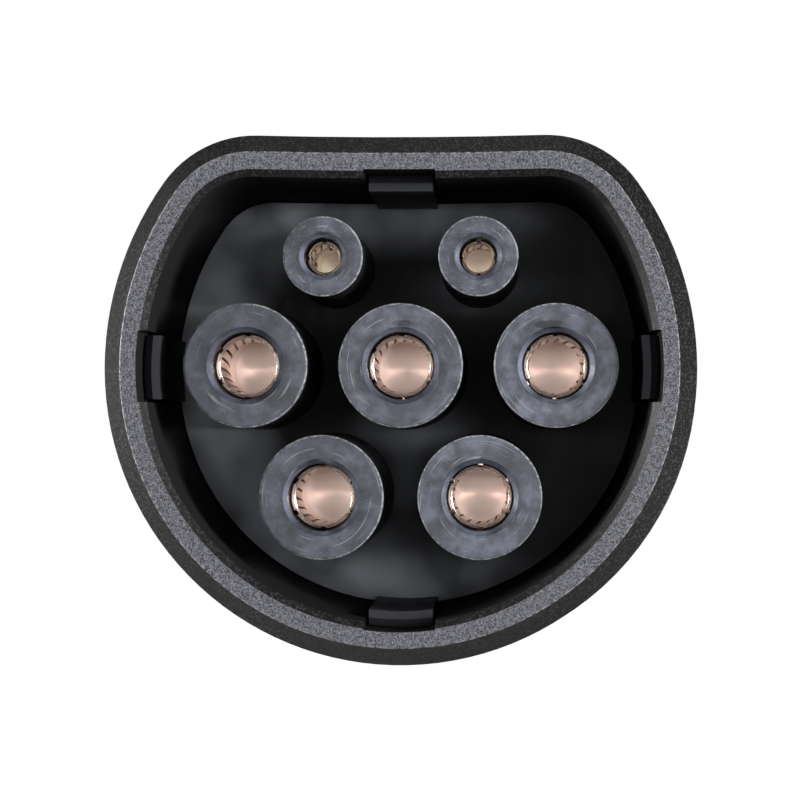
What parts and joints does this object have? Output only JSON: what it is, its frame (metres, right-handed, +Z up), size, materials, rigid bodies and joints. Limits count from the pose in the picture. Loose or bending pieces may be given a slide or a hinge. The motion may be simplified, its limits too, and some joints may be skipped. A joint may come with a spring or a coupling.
{
  "type": "ev charging plug",
  "caption": "Vehicle connector of an electric-car charging lead: D-shaped nose with socket contacts in insulating tubes, two-shell handle and cable gland.",
  "frame": {"origin": "centre of the nose's round lower half, in the plane of its rim", "axes": "-Y along the mating direction, out of the nose; +Z up, towards the flat of the D; +X to the right for somebody who looks into the nose"},
  "size_m": [0.0648, 0.2295, 0.0577],
  "materials": {
    "nose_plastic": "fine spark-eroded grain",
    "handle_plastic": "fine spark-eroded grain",
    "carrier_plastic": "smooth moulded, lightly scuffed",
    "power_contact": "turned copper alloy",
    "pilot_contact": "turned copper alloy",
    "spring_steel": "rolled strip",
    "screw_steel": "zinc plated",
    "insert_brass": "turned",
    "seal_rubber": "matte",
    "gland_plastic": "fine grain",
    "resistor_body": "lacquered"
  },
  "bodies": {
    "root": {"nose_shroud": "nose_plastic", "contact_carrier": "carrier_plastic", "carrier_gasket": "seal_rubber", "collar_seal": "seal_rubber", "tube_line_1": "carrier_plastic", "contact_line_1": "power_contact", "spring_ring_line_1": "spring_steel", "oring_line_1": "seal_rubber", "tube_earth": "carrier_plastic", "contact_earth": "power_contact", "spring_ring_earth": "spring_steel", "oring_earth": "seal_rubber", "tube_neutral": "carrier_plastic", "contact_neutral": "power_contact", "spring_ring_neutral": "spring_steel", "oring_neutral": "seal_rubber", "tube_line_2": "carrier_plastic", "contact_line_2": "power_contact", "spring_ring_line_2": "spring_steel", "oring_line_2": "seal_rubber", "tube_line_3": "carrier_plastic", "contact_line_3": "power_contact", "spring_ring_line_3": "spring_steel", "oring_line_3": "seal_rubber", "tube_control_pilot": "carrier_plastic", "contact_control_pilot": "pilot_contact", "spring_ring_control_pilot": "spring_steel", "oring_control_pilot": "seal_rubber", "tube_proximity_pilot": "carrier_plastic", "contact_proximity_pilot": "pilot_contact", "spring_ring_proximity_pilot": "spring_steel", "oring_proximity_pilot": "seal_rubber", "contact_retainer": "gland_plastic", "retainer_screws": "screw_steel", "coding_resistor": "resistor_body", "handle_shell_left": "handle_plastic", "handle_shell_right": "handle_plastic", "shell_screws": "screw_steel", "shell_inserts": "insert_brass", "cable_clamp": "gland_plastic", "clamp_screws": "screw_steel", "gland_body": "gland_plastic", "gland_seal": "seal_rubber", "gland_nut": "gland_plastic"}
  },
  "joints": []
}
